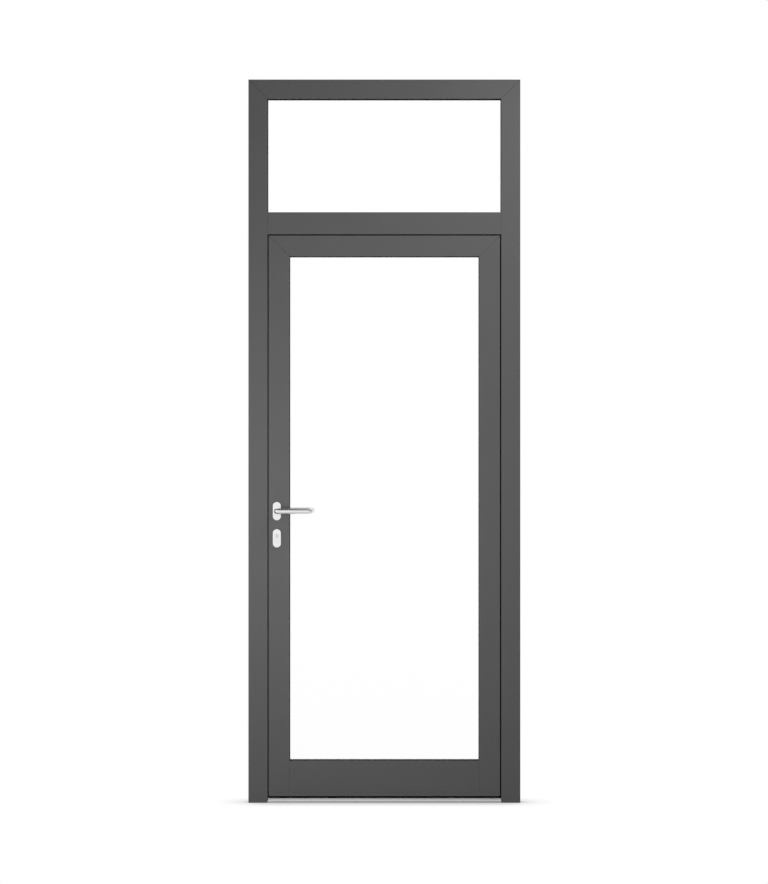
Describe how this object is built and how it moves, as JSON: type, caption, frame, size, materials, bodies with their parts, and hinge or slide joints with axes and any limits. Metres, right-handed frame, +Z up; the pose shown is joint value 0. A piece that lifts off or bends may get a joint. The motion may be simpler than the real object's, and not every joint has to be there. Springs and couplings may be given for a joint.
{
  "type": "glass door",
  "caption": "Glazed aluminium door leaf on barrel hinges in its mitred frame, with a fixed fanlight above, lever handles and a cylinder lock.",
  "frame": {"origin": "middle of the frame's footprint on the floor", "axes": "+X across the door to the hinge side, +Y from the front face to the back face, +Z up"},
  "size_m": [1, 0.19, 2.66],
  "materials": {
    "coated_aluminium": "matt powder coat, anthracite",
    "mill_aluminium": "mill finish",
    "stainless": "satin",
    "rubber": "matt EPDM",
    "brush": "black bristle",
    "polyamide": "matt",
    "glass": "clear float"
  },
  "bodies": {
    "frame": {"jamb_lock_side": "coated_aluminium", "jamb_hinge_side": "coated_aluminium", "head": "coated_aluminium", "transom": "coated_aluminium", "frame_insulating_strips": "polyamide", "frame_corner_cleats": "mill_aluminium", "threshold": "mill_aluminium", "stop_seal": "rubber", "keeper": "stainless", "fanlight_front_pane": "glass", "fanlight_back_pane": "glass", "fanlight_spacer": "mill_aluminium", "fanlight_front_gasket": "rubber", "fanlight_back_gasket": "rubber", "fanlight_side_beads": "coated_aluminium", "fanlight_cross_beads": "coated_aluminium", "fanlight_setting_blocks": "polyamide", "hinge_low_frame_wing": "coated_aluminium", "hinge_mid_frame_wing": "coated_aluminium", "hinge_high_frame_wing": "coated_aluminium", "hinge_pins": "stainless", "hinge_caps": "coated_aluminium"},
    "leaf": {"lock_stile": "coated_aluminium", "hinge_stile": "coated_aluminium", "top_rail": "coated_aluminium", "bottom_rail": "coated_aluminium", "shoe": "coated_aluminium", "bottom_brush": "brush", "leaf_insulating_strips": "polyamide", "leaf_corner_cleats": "mill_aluminium", "leaf_front_pane": "glass", "leaf_back_pane": "glass", "leaf_spacer": "mill_aluminium", "leaf_front_gasket": "rubber", "leaf_back_gasket": "rubber", "leaf_side_beads": "coated_aluminium", "leaf_cross_beads": "coated_aluminium", "leaf_setting_blocks": "polyamide", "hinge_low_leaf_wing": "coated_aluminium", "hinge_mid_leaf_wing": "coated_aluminium", "hinge_high_leaf_wing": "coated_aluminium", "hinge_bushes": "polyamide", "lock_case": "stainless", "lock_forend": "stainless", "cylinder_body": "stainless", "front_rose": "stainless", "back_rose": "stainless", "front_escutcheon": "stainless", "back_escutcheon": "stainless"},
    "handle": {"front_lever": "stainless", "back_lever": "stainless", "spindle": "stainless", "follower": "stainless"},
    "latch": {"latch_bolt": "stainless"},
    "bolt": {"dead_bolt": "stainless"},
    "key_plug": {"front_key_plug": "stainless", "cylinder_cam": "stainless"},
    "rear_key_plug": {"back_key_plug": "stainless"}
  },
  "joints": [
    {"name": "door_swing", "type": "hinge", "parent": "frame", "child": "leaf", "pos_m": [0.4495, 0.0455, 0], "axis": [0, 0, -1], "range_deg": [0, 110]},
    {"name": "lever_turn", "type": "hinge", "parent": "leaf", "child": "handle", "pos_m": [-0.395, 0, 1.073], "axis": [0, 1, 0], "range_deg": [0, 40], "stiffness_Nm_per_rad": 3, "springref_deg": -22.92},
    {"name": "latch_slide", "type": "slide", "parent": "leaf", "child": "latch", "axis": [1, 0, 0], "range_m": [0, 0.0121]},
    {"name": "key_turn", "type": "hinge", "parent": "leaf", "child": "key_plug", "pos_m": [-0.395, 0, 0.981], "axis": [0, 1, 0], "range_deg": [0, 362]},
    {"name": "bolt_slide", "type": "slide", "parent": "leaf", "child": "bolt", "axis": [-1, 0, 0], "range_m": [0, 0.02]},
    {"name": "rear_key_turn", "type": "hinge", "parent": "leaf", "child": "rear_key_plug", "pos_m": [-0.395, 0, 0.981], "axis": [0, 1, 0], "range_deg": [0, 360]}
  ],
  "couplings": [
    {"joint": "latch_slide", "follows": "lever_turn", "m_per_rad": 0.017189},
    {"joint": "key_turn", "follows": "bolt_slide", "rad_per_m": 314.16}
  ]
}
